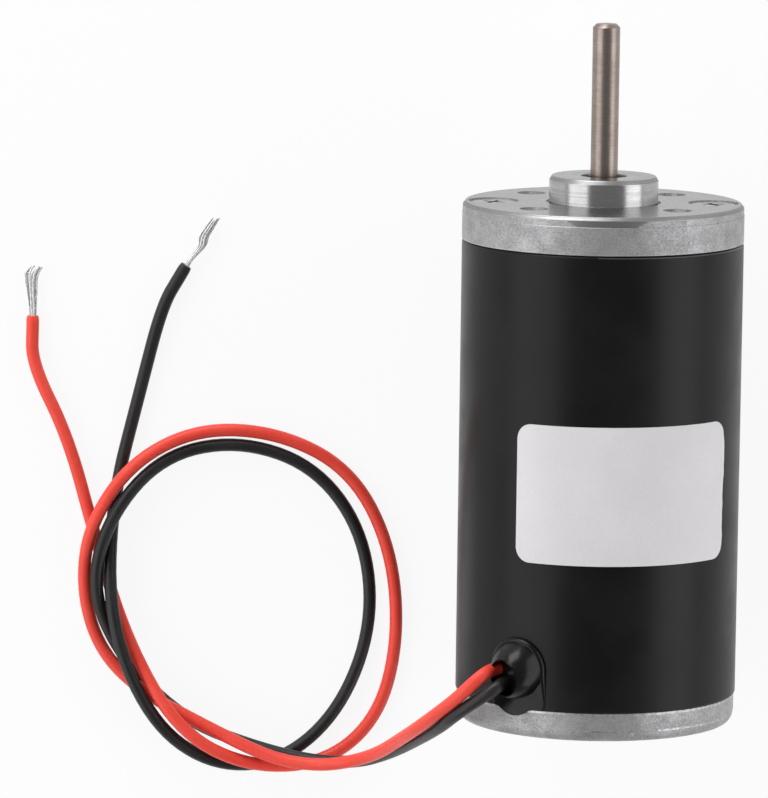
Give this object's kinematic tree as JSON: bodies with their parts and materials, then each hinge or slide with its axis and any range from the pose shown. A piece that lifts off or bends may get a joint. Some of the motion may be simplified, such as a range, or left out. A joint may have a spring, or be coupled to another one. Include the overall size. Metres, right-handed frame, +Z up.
{
  "type": "dc motor",
  "caption": "Small round brushed dc motor with a turned pilot boss, plain output shaft, bare label, rubber lead grommet and a pair of loose stripped leads, for driving classroom apparatus.",
  "frame": {"origin": "centre of the front mounting face, on the shaft axis at the foot of the pilot boss", "axes": "+Y along the shaft towards its free end, +Z up from the table that the motor lies on, +X to the side away from the leads"},
  "size_m": [0.08, 0.0867, 0.0323],
  "materials": {
    "black_paint": "satin black paint",
    "cast_metal": "cast and faced",
    "screw_steel": "zinc plated",
    "ferrite": "ground",
    "bronze": "sintered",
    "shaft_steel": "ground and polished",
    "fibre": "pressed fibre",
    "brass": "stamped",
    "core_steel": "stacked laminations",
    "copper": "enamelled copper",
    "phenolic": "moulded",
    "carbon": "pressed carbon",
    "black_rubber": "smooth",
    "label_paper": "plain printed stock, bare",
    "red_vinyl": "soft vinyl",
    "black_vinyl": "soft vinyl",
    "tinned_wire": "tinned copper strands"
  },
  "bodies": {
    "stator": {"housing_tube": "black_paint", "front_flange": "cast_metal", "rear_cap": "cast_metal", "through_screws": "screw_steel", "magnet_upper": "ferrite", "magnet_lower": "ferrite", "front_bush": "bronze", "rear_bush": "bronze", "brush_plate": "phenolic", "plate_screws": "screw_steel", "brush_holder_upper": "brass", "brush_holder_lower": "brass", "brush_spring_upper": "screw_steel", "brush_spring_lower": "screw_steel", "red_terminal": "brass", "black_terminal": "brass", "lead_grommet": "black_rubber", "rating_label": "label_paper", "red_lead": "red_vinyl", "black_lead": "black_vinyl", "red_strands": "tinned_wire", "black_strands": "tinned_wire"},
    "rotor": {"shaft": "shaft_steel", "front_washer": "fibre", "rear_washer": "fibre", "front_collar": "brass", "rear_collar": "fibre", "armature_core": "core_steel", "end_insulators": "fibre", "armature_windings": "copper", "commutator_hub": "phenolic", "commutator_bars": "copper"},
    "upper_brush": {"brush_upper": "carbon"},
    "lower_brush": {"brush_lower": "carbon"}
  },
  "joints": [
    {"name": "rotor_spin", "type": "hinge", "parent": "stator", "child": "rotor", "pos_m": [0, 0, 0], "axis": [0, 1, 0], "continuous": true},
    {"name": "upper_brush_slide", "type": "slide", "parent": "stator", "child": "upper_brush", "axis": [0, 0, 1], "range_m": [0, 0.0015], "stiffness_N_per_m": 150, "springref_m": -0.002, "deforming": ["brush_spring_upper"]},
    {"name": "lower_brush_slide", "type": "slide", "parent": "stator", "child": "lower_brush", "axis": [0, 0, -1], "range_m": [0, 0.0015], "stiffness_N_per_m": 150, "springref_m": -0.002, "deforming": ["brush_spring_lower"]}
  ]
}
